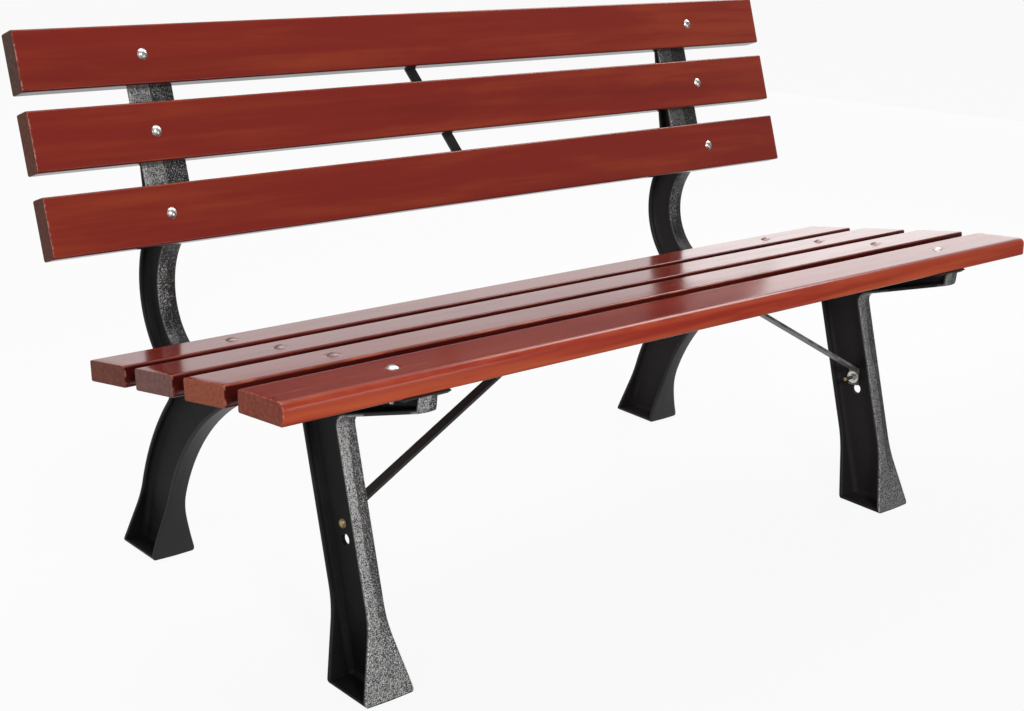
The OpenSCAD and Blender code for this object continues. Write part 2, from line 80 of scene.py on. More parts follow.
SEAT_SLATS = ["seat_slat_" + row for row in ("front", "front_middle", "rear_middle", "rear")]
BACK_SLATS = ["back_slat_" + row for row in ("bottom", "middle", "top")]
BOLTS = {slat: "bolts_" + slat.replace("_slat", "") for slat in SEAT_SLATS + BACK_SLATS}
END_FRAMES = ["end_frame_left", "end_frame_right"]
BARS = ["brace_left", "brace_right", "tie_bar"]
SMALL_METAL = ["washers_seat", "washers_back", "nuts_seat", "nuts_back", "brace_leg_washers",
               "brace_leg_nuts", "brace_seat_screws", "tie_bar_screws"]

# How finely the surfaces are divided.
SLAT_STEPS = 60
SLAT_ARC_POINTS = 9
SLAT_FACE_POINTS = 26
SLAT_EDGE_POINTS = 6
SLAT_END_RINGS = 5
DIMPLE_RINGS = 13
CORNER_POINTS = 3
FILLET_WINDOW = 9
RIM_POINTS = 40

# A cut's outline is straight below the first angle, and has a sharp corner above the second.
STRAIGHT = math.radians(0.4)
SHARP = math.radians(28)
# What tells a casting's stretches apart: the front leg lies within LEG_SPLIT of the rail's
# tip, the rail's top above RAIL_LOW, the back's plate above PLATE_SPLIT, and the upright's
# top more than TOP_RISE above that plate's start. Points within NEAR are at the same place.
LEG_SPLIT = 0.2
RAIL_LOW = 0.30
PLATE_SPLIT = 0.42
TOP_RISE = 0.2
NEAR = 1e-3
# The rear part's silvery grains, painted sheen, set in at this height, over this rise.
GRAINS_FROM = 0.31
GRAINS_RISE = 0.03
# Length over which a fillet and an inset ring pass into a corner.
EASE = 0.012


# ---- reading the frame ----
def node_mesh(name):
    """A node's corners, its triangles, and each triangle's unit normal and area."""
    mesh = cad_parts[name].data
    mesh.calc_loop_triangles()
    points = np.empty(len(mesh.vertices) * 3)
    mesh.vertices.foreach_get("co", points)
    triangles = np.empty(len(mesh.loop_triangles) * 3, int)
    mesh.loop_triangles.foreach_get("vertices", triangles)
    points, triangles = points.reshape(-1, 3), triangles.reshape(-1, 3)
    a, b, c = (points[triangles[:, i]] for i in range(3))
    cross = np.cross(b - a, c - a)
    double = np.maximum(np.linalg.norm(cross, axis=1), 1e-15)
    return points, triangles, cross / double[:, None], double / 2


def slat_up(slat):
    """Unit normal of a slat's broad face: a seat slat's top, a back slat's front."""
    towards = (0, 0, 1) if slat in SEAT_SLATS else (0, -1, 0)
    _, _, normals, areas = node_mesh(slat)
    facing = normals @ np.array(towards, float) > 0.5
    _, where = np.unique(np.round(normals[facing], 3), axis=0, return_inverse=True)
    sums = np.bincount(where.ravel(), areas[facing])
    largest = where.ravel() == np.argmax(sums)
    mean = (normals[facing][largest] * areas[facing][largest][:, None]).sum(0)
    return mean / np.linalg.norm(mean)


def section(name, x):
    """Closed loops of [y, z] where the plane at x cuts a node, the longest first.

    Each triangle that the plane crosses gives one step, directed so that the solid lies on
    its right. The steps are chained end to end, and points on straight stretches dropped.
    """
    points, triangles, normals, _ = node_mesh(name)
    side = points[triangles][:, :, 0] - x
    cut = (side.min(1) < 0) & (side.max(1) >= 0)
    corner, side, normals = points[triangles][cut], side[cut], normals[cut]
    ends = []
    for i, j in ((0, 1), (1, 2), (2, 0)):
        a, b = side[:, i], side[:, j]
        crosses = (a < 0) != (b < 0)
        t = np.where(crosses, a / np.where(crosses, a - b, 1), 0)[:, None]
        ends.append((crosses, corner[:, i] + (corner[:, j] - corner[:, i]) * t))
    first = np.where(ends[0][0][:, None], ends[0][1], ends[1][1])
    last = np.where(ends[2][0][:, None], ends[2][1], ends[1][1])
    step = last - first
    back = step[:, 1] * normals[:, 2] - step[:, 2] * normals[:, 1] < 0
    first, last = np.where(back[:, None], last, first), np.where(back[:, None], first, last)
    keys, ids = np.unique(np.round(np.concatenate([first, last])[:, 1:], 6), axis=0,
                          return_inverse=True)
    following = {a: b for a, b in ids.ravel().reshape(2, -1).T if a != b}
    loops = []
    while following:
        start, at = next(iter(following.items()))
        del following[start]
        loop = [start]
        while at != start and at in following:
            loop.append(at)
            at = following.pop(at)
        loops.append(keys[loop])
    loops = [loop[np.abs(turns(loop)) > STRAIGHT] for loop in loops]
    return sorted(loops, key=lambda loop: -np.ptp(loop, axis=0).sum())


def unit(rows):
    return rows / np.linalg.norm(rows, axis=1)[:, None]


def turns(loop):
    """Signed angle by which a closed loop turns at each of its points."""
    before = loop - np.roll(loop, 1, axis=0)
    after = np.roll(loop, -1, axis=0) - loop
    cross = before[:, 0] * after[:, 1] - before[:, 1] * after[:, 0]
    return np.arctan2(cross, (before * after).sum(1))


# ---- putting surfaces into meshes ----
def ring_faces(rows, columns):
    """Quads between rows of points, each row a closed ring of as many columns."""
    i, j = np.arange(rows - 1)[:, None], np.arange(columns)
    a, b = i * columns + j, i * columns + (j + 1) % columns
    return np.stack([a, b, b + columns, a + columns], -1).reshape(-1, 4)


def put_in(name, data):
    """A new object in the scene."""
    thing = bpy.data.objects.new(name, data)
    bpy.context.scene.collection.objects.link(thing)
    return thing


def cover(mesh, material):
    mesh.materials.clear()
    mesh.materials.append(material)


def take_place(mesh, node, material, sharp):
    """A piece in a node's place, smooth except across edges over sharp degrees."""
    cover(mesh, material)
    mesh.shade_smooth()
    mesh.set_sharp_from_angle(angle=math.radians(sharp))
    piece = put_in(mesh.name, mesh)
    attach(piece, "root")
    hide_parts(node)
    return piece


def make_piece(name, node, surface, material, sharp):
    """A closed piece from a surface's points, face arrays and values that materials read.

    Points that coincide are merged and faces that vanish are dropped.
    """
    points, faces, values = surface
    _, index, where = np.unique(np.round(points, 7), axis=0, return_index=True,
                                return_inverse=True)
    polygons = []
    for group in faces:
        corners = where.ravel()[group]
        same = corners == np.roll(corners, -1, axis=1)
        polygons += corners[same.sum(1) == 0].tolist()
        if group.shape[1] == 4:
            one = same.sum(1) == 1
            polygons += corners[one][~same[one]].reshape(-1, 3).tolist()
    mesh = bpy.data.meshes.new(name)
    mesh.from_pydata(points[index].tolist(), [], polygons)
    mesh.update()
    for key, numbers in values.items():
        attribute = mesh.attributes.new(key, "FLOAT", "POINT")
        attribute.data.foreach_set("value", np.asarray(numbers, np.float32)[index])
    take_place(mesh, node, material, sharp)


def softened(node, width, material):
    """A merged copy of a CAD node with its edges rounded by width."""
    mesh = bpy.data.meshes.new(node + "_soft")
    work = bmesh.new()
    work.from_mesh(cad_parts[node].data)
    bmesh.ops.remove_doubles(work, verts=work.verts, dist=1e-6)
    bmesh.ops.dissolve_limit(work, angle_limit=math.radians(1.0), verts=work.verts,
                             edges=work.edges)
    work.to_mesh(mesh)
    work.free()
    piece = take_place(mesh, node, material, 30)
    bevel = piece.modifiers.new("rounding", "BEVEL")
    bevel.width = width
    bevel.segments = 2
    bevel.limit_method = "ANGLE"
    bevel.angle_limit = math.radians(35)


# ---- shader maths ----
class Value:
    """A socket in a node tree. Arithmetic on it adds Math nodes."""

    def __init__(self, tree, socket):
        self.tree, self.socket = tree, socket

    def __add__(self, other):
        return self.tree.maths("ADD", self, other)

    def __sub__(self, other):
        return self.tree.maths("SUBTRACT", self, other)

    def __rsub__(self, other):
        return self.tree.maths("SUBTRACT", other, self)

    def __mul__(self, other):
        return self.tree.maths("MULTIPLY", self, other)


class Tree:
    """A node tree, in which add() makes any node."""

    def __init__(self, node_tree):
        self.nodes, self.links = node_tree.nodes, node_tree.links

    def connect(self, socket, value):
        if isinstance(value, Value):
            self.links.new(value.socket, socket)
        elif value is not None:
            socket.default_value = value

    def feed(self, node, named):
        for key, value in named.items():
            self.connect(node.inputs[key.replace("_", " ")], value)

    def add(self, kind, settings=None, *values, out=0, **named):
        """A shader node with its settings made first, then its inputs by order or by name."""
        node = self.nodes.new("ShaderNode" + kind)
        for key, setting in (settings or {}).items():
            setattr(node, key, setting)
        for socket, value in zip(node.inputs, values):
            self.connect(socket, value)
        self.feed(node, named)
        return Value(self, node.outputs[out])

    def maths(self, operation, *values):
        return self.add("Math", {"operation": operation}, *values)

    def band(self, value, low, high):
        """0 below low, 1 above high, smooth between."""
        return self.add("MapRange", {"interpolation_type": "SMOOTHSTEP"}, value,
                        low, high, 0.0, 1.0)

    def mix(self, factor, a, b):
        """Colour a where factor is 0, b where it is 1."""
        a, b = (c if isinstance(c, Value) else (*c, 1.0) for c in (a, b))
        return self.add("Mix", {"data_type": "RGBA"}, factor, *[None] * 5, a, b, out=2)

    def part(self, vector, axis):
        return self.add("SeparateXYZ", None, vector, out=axis)

    def rays(self):
        """1 for the camera's rays, and 1 for those, reflected ones and those through glass."""
        camera, glossy, clear = (self.add("LightPath", out=name) for name in (
            "Is Camera Ray", "Is Glossy Ray", "Is Transmission Ray"))
        return camera, self.maths("MAXIMUM", self.maths("MAXIMUM", camera, glossy), clear)


class Finish(Tree):
    """A material's nodes, of which set() feeds the main shader."""

    def __init__(self, name):
        self.material = bpy.data.materials.new(name)
        self.material.use_nodes = True
        super().__init__(self.material.node_tree)
        self.shader = self.nodes["Principled BSDF"]
        self.place = self.add("TexCoord", out="Object")

    def set(self, **named):
        self.feed(self.shader, named)

    def noise(self, scale, detail=3.0, roughness=0.5, distortion=0.0, shift=(0.0, 0.0, 0.0)):
        """Noise at one scale, or at one scale for each axis and moved by shift."""
        place = self.place
        if isinstance(scale, tuple):
            place = self.add("Mapping", None, place, Location=shift, Scale=scale)
            scale = 1.0
        return self.add("TexNoise", None, Vector=place, Scale=scale, Detail=detail,
                        Roughness=roughness, Distortion=distortion)

    def attribute(self, name):
        return self.add("Attribute", {"attribute_name": name}, out="Fac")

    def relief(self, height, strength, distance):
        self.set(Normal=self.add("Bump", None, strength, distance, Height=height))


def srgb(*screen):
    """Linear colour of an 8-bit screen colour."""
    return tuple(c / 12.92 if c <= 0.04045 else ((c + 0.055) / 1.055) ** 2.4
                 for c in (level / 255 for level in screen))


# ---- finishes ----
# Heights on the bench over which a finish sets in or fades.
REDDER_EDGE = (0.408, 0.430)
# Bands of the castings' painted light and shade: the bends, the glint, the feet and the legs.
BEND_LOW, BEND_HIGH = (0.33, 0.35), (0.50, 0.54)
GLINT_LOW, GLINT_HIGH = (0.35, 0.385), (0.42, 0.45)
LINE_LOW = (0.10, 0.20)
FOOT = (0.02, 0.15)
LEG = (0.05, 0.38)


def timber(name, shift, look, ends, edges, thin):
    """Glossy red-brown glaze on planed wood, its pattern moved by shift.

    Long streaks and cloudy patches run along X. The value side marks a slat's narrow edges,
    with the colours edges: thick glaze, thinner and more orange, and high on the front edge.
    On every slat but the front one these are the gap colours, darkened as painted shade.
    The value arris marks the front upper edge, where the glaze is paler by the share thin.
    The sawn ends are matt, in the two colours ends, with pale scuffs round them.
    """
    f = Finish(name)

    def wood(scale, *settings):
        return f.noise(scale, *settings, shift=shift)

    cloud = wood((2.2, 16, 16), 4.0, 0.55, 0.4)
    streak = wood((3.0, 70, 70), 5.0, 0.6, 0.2)
    fibre = wood((14, 900, 900), 2.0, 0.6)
    glow = f.band(cloud * 0.62 + streak * 0.38, 0.44, 0.66)
    face = f.mix(glow, look.deep, look.warm)
    dark = f.band(f.noise((1.3, 24, 24), shift=shift[::-1]), 0.5, 0.75)
    face = f.mix(dark * 0.5, face, look.dusk)
    # The narrow edges take the colours edges; between slats these are painted shade.
    edge = f.mix(f.band(streak + cloud * 0.5, 0.55, 0.95), edges[0], edges[1])
    upper = f.band(f.part(f.place, "Z") + (cloud - 0.5) * 0.03, *REDDER_EDGE)
    edge = f.mix(upper * 0.6, edge, edges[2])
    face = f.mix(f.attribute("side"), face, edge)
    rubbed = f.band(wood((22, 90, 90), 4.0, 0.6), 0.40, 0.62)
    x = f.part(f.place, "X")
    near = 1.0 - f.band(x, -0.2, 0.5) * 0.7
    face = f.mix(f.attribute("arris") * (rubbed * 0.7 + 0.3) * near * thin, face, look.arris)
    reach, half = f.maths("ABSOLUTE", x), CAD_BOX[1][0]
    end = f.band(reach, half - 0.0012, half - 0.0004)
    rings = wood((4, 200, 200), 3.0, 0.6, 0.4)
    sawn = f.mix(f.band(rings, 0.3, 0.75), *ends)
    rim = f.band(reach, half - 0.0036, half - 0.0016) * (1.0 - end)
    scuff = f.band(f.noise(150.0, 3.0, 0.6), 0.48, 0.62)
    base = f.mix(end, f.mix(rim * scuff * 0.5, face, look.worn), sawn)
    rough = wood((6, 40, 40), 3.0) * 0.08 + look.gloss
    f.set(Base_Color=base, Roughness=rough + end * 0.5, IOR=1.3)
    wave = wood((1.2, 9, 9), 2.0)
    f.relief(fibre * 0.4 + streak * 0.5 + wave * 1.5, 0.05, 0.0010)
    return f.material


def enamel(look, reach):
    """Black enamel on rough castings: dull in the recesses, a little glossy outside.

    The value outer marks the flanges' outer faces, and a second value those of them that face
    the front. There fine silvery grains cover the enamel: painted sheen, thicker to the left of
    an irregular parting line in the flange's middle, which lies at the distance reach from the
    bench's middle, as painted light from the left; on the right they are thinner, as painted
    shade. They are thinner at the feet and on the bends as painted shade, and whiter in a band
    on each rear bend as a painted glint. Towards the right end frame the grains are darker, as
    painted shade, and the satin paler, as painted light. The recesses' satin is darker than the
    outer faces': painted shade.
    """
    f = Finish("cast_enamel")
    outer, lit_grains = f.attribute("outer"), f.attribute("lit_grains")
    grain = f.noise(850.0, 1.0, 0.5)
    lumps = f.noise(300.0, 2.0, 0.5)
    patch = f.noise(16.0, 4.0, 0.65)
    x, y, z = (f.part(f.place, axis) for axis in "XYZ")
    # Painted light from the left: right of the parting line the grains thin out, as painted
    # shade.
    off = x - f.maths("SIGN", x) * reach + (patch - 0.5) * 0.012
    right = f.band(off, -0.001, 0.003)
    line = 1.0 - f.band(f.maths("ABSOLUTE", off), 0.0004, 0.0026)
    line = line * f.band(patch, 0.42, 0.56) * f.band(z, *LINE_LOW)
    # Painted shade on the bends and towards the right end frame; a painted glint in a band on
    # each rear bend.
    rear, far = f.band(y, -0.05, 0.0), f.band(x, -0.3, 0.5)
    bend = rear * f.band(z, *BEND_LOW) * (1.0 - f.band(z, *BEND_HIGH))
    glint = rear * (1.0 - right) * f.band(z, *GLINT_LOW) * (1.0 - f.band(z, *GLINT_HIGH))
    # Fewer grains as painted shade right of the parting line and on the bends, more in the glint
    # band.
    thin = right * (1.0 - bend) * f.band(z, *FOOT) * 0.09 + bend * 0.14 - glint * 0.05
    # Painted shade towards the front legs' feet, painted light towards their tops.
    thin = thin + (0.5 - f.band(z, *LEG)) * (1.0 - rear) * 0.035
    lit_flake = f.band(grain * 0.75 + lumps * 0.25, thin + 0.42, thin + 0.56) * (1.0 - line * 0.8)
    # The recesses' satin is darker than the outer faces', as painted shade, and paler towards the
    # right end frame, as painted light.
    satin = f.mix(f.band(patch, 0.35, 0.7), look.satin_dark, look.satin_light)
    satin = f.mix(far * 0.45, satin, look.satin_far_lit)
    satin = f.mix(outer, satin, look.satin_outer)
    # Painted sheen: silvery grains, whiter in the glint band, and darker towards the right end
    # frame as painted shade.
    silver = f.mix(lit_flake, look.sheen, f.mix(glint, look.lit_flake, look.glint))
    silver = f.mix(far * 0.35, silver, look.sheen)
    f.set(Base_Color=f.mix(lit_grains, satin, silver), Metallic=lit_grains * (0.85 - glint * 0.35),
          Roughness=0.5 - lit_grains * 0.14, Specular_IOR_Level=0.10, Coat_Weight=outer * 0.3,
          Coat_Roughness=0.32)
    height = (grain * 0.8 + lumps * 1.6) * lit_grains + f.noise(90.0, 3.0, 0.55) * 0.5
    f.relief(height, 0.85, 0.0010)
    return f.material


def plated(name, light, dark, rough):
    """Zinc plate: bright metal with soft cloudy stains and fine scratches."""
    f = Finish(name)
    stain = f.noise(180.0, 4.0, 0.6)
    tint = f.mix(f.band(stain, 0.35, 0.75), light, dark)
    scratch = f.noise((900, 120, 900), 2.0)
    f.set(Base_Color=tint, Metallic=1.0, Roughness=stain * 0.2 + rough)
    f.relief(scratch + stain, 0.08, 0.0004)
    return f.material


def black_paint(name, dark, light, worn):
    """Satin black paint on rolled flat bar, thin and rubbed in places."""
    f = Finish(name)
    cloud = f.noise(40.0, 4.0, 0.6)
    rub = f.band(f.noise(160.0, 5.0, 0.65), 0.62, 0.74)
    tint = f.mix(f.band(cloud, 0.35, 0.7), dark, light)
    f.set(Base_Color=f.mix(rub * 0.5, tint, worn), Roughness=cloud * 0.15 + 0.36)
    f.relief(f.noise(420.0, 3.0, 0.6), 0.12, 0.0005)
    return f.material


# ---- the slats ----
def slat_section(low, high, bottom, top, radii, rounded):
    """The points round a slat's section, and for each its outward normal and two values.

    The section is a rectangle whose four corners are quarter circles. The value side is 1 on
    the narrow edges, and arris peaks in the middle of the corner that rounded names.
    """
    centres = np.array([[low, bottom], [high, bottom], [high, top], [low, top]])
    inward = np.array([[1, 1], [-1, 1], [-1, -1], [1, -1]])
    ahead = np.array([[0, -1], [1, 0], [0, 1], [-1, 0]])
    ring, normal, side, arris = [], [], [], []
    for i in range(4):
        a = math.pi + i * math.pi / 2 + np.linspace(0, math.pi / 2, SLAT_ARC_POINTS)
        out = np.stack([np.cos(a), np.sin(a)], -1)
        arc = centres[i] + inward[i] * radii[i] + out * radii[i]
        following = (i + 1) % 4
        stop = centres[following] + (inward[following] + ahead[i]) * radii[following]
        count = (SLAT_FACE_POINTS, SLAT_EDGE_POINTS)[i % 2]
        t = np.linspace(0, 1, count + 2)[1:-1, None]
        ring += [arc, arc[-1] + (stop - arc[-1]) * t]
        normal += [out, np.broadcast_to(out[-1], (count, 2))]
        side += [out[:, 0] ** 2, np.full(count, np.abs(out[-1, 0]))]
        arris += [np.sin(2 * (a - a[0])) * (i == rounded), np.zeros(count)]
    return (np.concatenate(group) for group in (ring, normal, side, arris))


def slat_surface(slat, shape, nose):
    """A slat as rings of its section along X, with rounded ends and closed end faces.

    Towards each end the rings shrink inwards by r(1 - cos a) while X moves out by r sin a.
    Round each bolt the face sinks by depth * (1 - smoothstep) of the distance from its axis.
    """
    up, points = slat_up(slat), node_mesh(slat)[0]
    across = np.array([0, up[2], -up[1]])
    u, v, half = points @ across, points @ up, points[:, 0].max()
    ring, normal, side, arris = slat_section(u.min(), u.max(), v.min(), v.max(),
                                             [shape.edge_radius] * 3 + [nose],
                                             2 if slat in BACK_SLATS else 3)
    turn = np.linspace(math.pi / 2, 0, SLAT_END_RINGS)
    end_x = half - shape.end_radius * (1 - np.sin(turn))
    end_in = shape.end_radius * (1 - np.cos(turn))
    bolts = bolt_places(slat, up)
    right = np.linspace(0.0, half - shape.end_radius, SLAT_STEPS)[:-1]
    dimple = bolts[1][0] + np.linspace(-shape.dimple, shape.dimple, DIMPLE_RINGS)
    right = np.unique(np.round(np.concatenate([right, dimple]), 6))
    xs = np.concatenate([-end_x, -right[::-1][:-1], right, end_x[::-1]])
    inset = np.concatenate([end_in, np.zeros(2 * len(right) - 1), end_in[::-1]])
    rings = ring[None] - normal[None] * inset[:, None, None]
    points = xs[:, None, None] * np.eye(3)[0] + rings[..., :1] * across + rings[..., 1:] * up
    for bolt in bolts:
        away = points - bolt
        away = np.linalg.norm(away - (away @ up)[..., None] * up, axis=-1)
        t = np.clip((away - shape.dimple * 0.62) / (shape.dimple * 0.38), 0, 1)
        sink = shape.dimple_depth * (1 - t * t * (3 - 2 * t)) * np.clip(normal[:, 1], 0, 1)
        points = points - sink[..., None] * up
    rows, columns = points.shape[:2]
    faces = [ring_faces(rows, columns)]
    i = np.arange(columns // 2 - 1)
    for row, order in ((0, 1), (rows - 1, -1)):
        a, b = row * columns + i, row * columns + columns - 1 - i
        faces.append(np.stack([a, a + 1, b - 1, b][::order], -1))
    values = {"side": np.tile(side, rows), "arris": np.tile(arris, rows)}
    return points.reshape(-1, 3), faces, values


def bolt_places(slat, up):
    """Where each of a slat's two bolts has the top of its dome, the left bolt first."""
    points = node_mesh(BOLTS[slat])[0]
    out = []
    for sign in (-1, 1):
        mine = points[points[:, 0] * sign > 0]
        height = mine @ up
        crown = mine[height > height.max() - 1e-5].mean(0)
        crown[0] = (mine[:, 0].min() + mine[:, 0].max()) / 2
        out.append(crown)
    return out


# ---- the castings ----
class Run(NamedTuple):
    """A smooth stretch of a casting's outline, from one sharp corner to the next."""

    s: np.ndarray  # arc length at each point
    p: np.ndarray  # [y, z] of each point
    n: np.ndarray  # inward normal at each point
    c0: float  # tangent of half the corner's angle at the start
    c1: float  # the same at the end


def along(spots, s, values):
    """Rows of values, known at the arc lengths s, read off at each spot."""
    return np.stack([np.interp(spots, s, column) for column in values.T], -1)


def smooth_runs(loop, step):
    """A cut's outline as smooth runs between its sharp corners.

    Between points a cubic Hermite curve follows the chords from the point before to the
    point after, so that an arc's facets become the arc again.
    """
    turn = turns(loop)
    sharp = np.flatnonzero(np.abs(turn) > SHARP)
    runs = []
    for a, b in zip(sharp, np.roll(sharp, -1)):
        p = loop[np.arange(a, b + 1 if b > a else b + 1 + len(loop)) % len(loop)]
        chord = np.diff(p, axis=0)
        length = np.linalg.norm(chord, axis=1)
        tangent = np.empty_like(p)
        tangent[0], tangent[-1] = chord[0], chord[-1]
        tangent[1:-1] = p[2:] - p[:-2]
        tangent = unit(tangent)
        fine = []
        for i in range(len(chord)):
            t = np.linspace(0, 1, max(2, int(length[i] / step) + 2))[:-1, None]
            h = (2 * t**3 - 3 * t**2 + 1, t**3 - 2 * t**2 + t, 3 * t**2 - 2 * t**3, t**3 - t**2)
            fine.append(h[0] * p[i] + h[1] * tangent[i] * length[i] + h[2] * p[i + 1]
                        + h[3] * tangent[i + 1] * length[i])
        fine = np.concatenate(fine + [p[-1:]])
        s = np.concatenate([[0], np.cumsum(np.linalg.norm(np.diff(fine, axis=0), axis=1))])
        ahead = unit(np.gradient(fine, s, axis=0))
        runs.append(Run(s, fine, np.stack([ahead[:, 1], -ahead[:, 0]], -1),
                        math.tan(abs(turn[a]) / 2), math.tan(abs(turn[b]) / 2)))
    return runs


def frame_places(node, shape):
    """A casting's middle plane, the loops of the cut there, and where its stretches lie."""
    points = node_mesh(node)[0]
    middle = (points[:, 0].min() + points[:, 0].max()) / 2
    loops = section(node, middle)
    out = np.abs(points[:, 0] - middle)
    wide = points[np.abs(out - shape.plate_width / 2) < 1e-5]
    seat, back = wide[wide[:, 2] < PLATE_SPLIT], wide[wide[:, 2] > PLATE_SPLIT]
    flat = points[:, 2] < 1e-5
    front = points[:, 1] < 0
    y, z = loops[0].T
    return middle, loops, SimpleNamespace(
        seat_end=seat[:, 1].max(), back_start=back[:, 2].min(), toe=out[flat & front].max(),
        heel=out[flat & ~front].max(), tip_y=y.min(), tip_low=z[y < y.min() + 1e-4].min())


def run_kind(p, at):
    """Which stretch of the outline a run is, where its width or its steps depend on that."""
    if p[:, 1].min() > at.tip_low - NEAR and p[:, 0].max() < at.tip_y + NEAR:
        return "tip"
    if p[:, 1].min() > at.back_start + TOP_RISE:
        return "top"
    if abs(p[-1, 0] - at.tip_y) < NEAR and abs(p[-1, 1] - at.tip_low) < NEAR:
        return "underside"
    return "seat" if p[0, 0] < at.tip_y + NEAR else "other"


def bearing(run, spots, at):
    """1 where the outline carries a slat plate, 0 elsewhere."""
    y, z = along(spots, run.s, run.p).T
    going, rising = along(spots, run.s, np.gradient(run.p, run.s, axis=0)).T
    seat = (going > 0.9) & (rising < 0) & (y < at.seat_end) & (z > RAIL_LOW)
    back = (rising > 0.9) & (going > 0.3) & (z > at.back_start - NEAR)
    return (seat | back).astype(float)


def extra_spots(run, at, shape):
    """Arc lengths at which the half-width changes quickly, for finer steps there."""
    s, p = run.s, run.p
    kind = run_kind(p, at)
    found = []
    if kind == "seat":
        found.append(np.interp(at.seat_end, p[:, 0], s))
    if kind == "tip":
        found += [s[-1] - shape.plate - shape.tip_fillet * k for k in (0, 0.25, 0.5, 0.75, 1)]
    if kind == "top":
        found.append(shape.plate)
    for end in (0, -1):
        if p[end, 1] < NEAR < p[:, 1].max() - 0.02:
            rise = np.abs(p[:, 1] - p[end, 1])
            near = np.abs(s - s[end]) < 0.05
            found += [s[near][np.abs(rise[near] - shape.foot_corner * k).argmin()]
                      for k in (0.1, 0.3, 0.6, 1.0)]
    return found


def spread_spots(run, at, shape):
    """Arc lengths of a run's points: even steps, and finer ones where the width changes."""
    first, last = run.c0 * shape.corner_radius, run.s[-1] - run.c1 * shape.corner_radius
    spots = [np.linspace(first, last, max(6, int((last - first) / shape.step)))]
    spots += [centre + np.array([-1.2, -0.5, 0.0, 0.5, 1.2]) * 1e-3
              for centre in extra_spots(run, at, shape)]
    return np.unique(np.clip(np.concatenate(spots), first, last))


def across(points, normal):
    """Distance from each point of the outline, along its inward normal, to the far side."""
    def cross(a, b):
        return a[..., 0] * b[..., 1] - a[..., 1] * b[..., 0]
    edge = np.roll(points, -1, axis=0) - points
    rel = points[None] - points[:, None]
    under = cross(normal[:, None], edge[None])
    under = np.where(np.abs(under) < 1e-12, 1e-12, under)
    reach = cross(rel, edge[None]) / under
    share = cross(rel, normal[:, None]) / under
    good = (normal @ normal.T < -0.5) & (reach > 1e-3) & (share > -0.01) & (share < 1.01)
    return np.where(good, reach, 1.0).min(1)


def web_fillets(runs, spots, ease, shape):
    """Radius between web and flange at each run's spots, and at each run's first corner.

    It is the shape's own radius, or what the outline's width leaves for it, evened out over
    the neighbouring spots and led into the corners' mean.
    """
    points, normals, longest = (np.concatenate(parts) for parts in zip(*(
        (along(o, r.s, r.p), along(o, r.s, r.n), np.full(len(o), 0.85 * r.s[-1] / (r.c0 + r.c1)))
        for o, r in zip(spots, runs))))
    limit = np.minimum(longest, across(points, normals) / 2)
    fillet = np.clip((limit - shape.flange - shape.draft) * 0.9, 0.0006, shape.web_fillet)
    for even in (np.min, np.mean):
        padded = np.concatenate([fillet[-FILLET_WINDOW:], fillet, fillet[:FILLET_WINDOW]])
        fillet = even([padded[i:i + len(fillet)] for i in range(2 * FILLET_WINDOW + 1)], axis=0)
    spread = np.split(fillet, np.cumsum([len(o) for o in spots])[:-1])
    corners = [(spread[i - 1][-1] + spread[i][0]) / 2 for i in range(len(runs))]
    for f, (near, far), c0, c1 in zip(spread, ease, corners, corners[1:] + corners[:1]):
        f += near * (c0 - f[0]) + far * (c1 - f[-1])
    return spread, corners


def unfolded(line, ahead):
    """A line whose points that fall back behind an earlier one, on the way, stop at that one."""
    gone = np.cumsum(np.concatenate([[0], (np.diff(line, axis=0) * ahead[1:]).sum(1)]))
    order = np.where(gone >= np.maximum.accumulate(gone), np.arange(len(line)), 0)
    return line[np.maximum.accumulate(order)]


def inset_ring(runs, spots, ease, depths, corner_depths, radius):
    """The outline's points moved inwards, each by its own depth, with arcs at the corners.

    Near a corner a point at arc length s moves on to s + c(d - r)(1 - t), where t runs from 0
    to 1 away from the corner, so that the rings meet on the corners' bisectors. Where the
    depth is more than the corner's radius the two runs are led into one point.
    """
    bodies = []
    for (s, p, n, c0, c1), own, d in zip(runs, spots, depths):
        push = np.maximum(d - radius, 0)
        l0, l1 = (min(0.09 * c, s[-1] * c / (c0 + c1)) for c in (c0, c1))
        own = own + c0 * push * np.clip(1 - (own - c0 * radius) / l0, 0, 1) \
            - c1 * push * np.clip(1 - (s[-1] - c1 * radius - own) / l1, 0, 1)
        q, m = along(own, s, p), along(own, s, n)
        bodies.append(unfolded(q + m * d[:, None], np.stack([-m[:, 1], m[:, 0]], -1)))
    fans = []
    for i, (run, depth) in enumerate(zip(runs, corner_depths)):
        n0, n1 = runs[i - 1].n[-1], run.n[0]
        pivot = run.p[0] + (n0 + n1) / (1 + n0 @ n1) * radius
        if depth > radius:
            pivot = (bodies[i - 1][-1] + bodies[i][0]) / 2
            bodies[i - 1] += ease[i - 1][1][:, None] * (pivot - bodies[i - 1][-1])
            bodies[i] += ease[i][0][:, None] * (pivot - bodies[i][0])
        t = np.linspace(0, 1, CORNER_POINTS + 2)[1:-1, None]
        fans.append(pivot - unit(n0 * (1 - t) + n1 * t) * max(radius - depth, 0))
    return np.concatenate([part for pair in zip(fans, bodies) for part in pair])


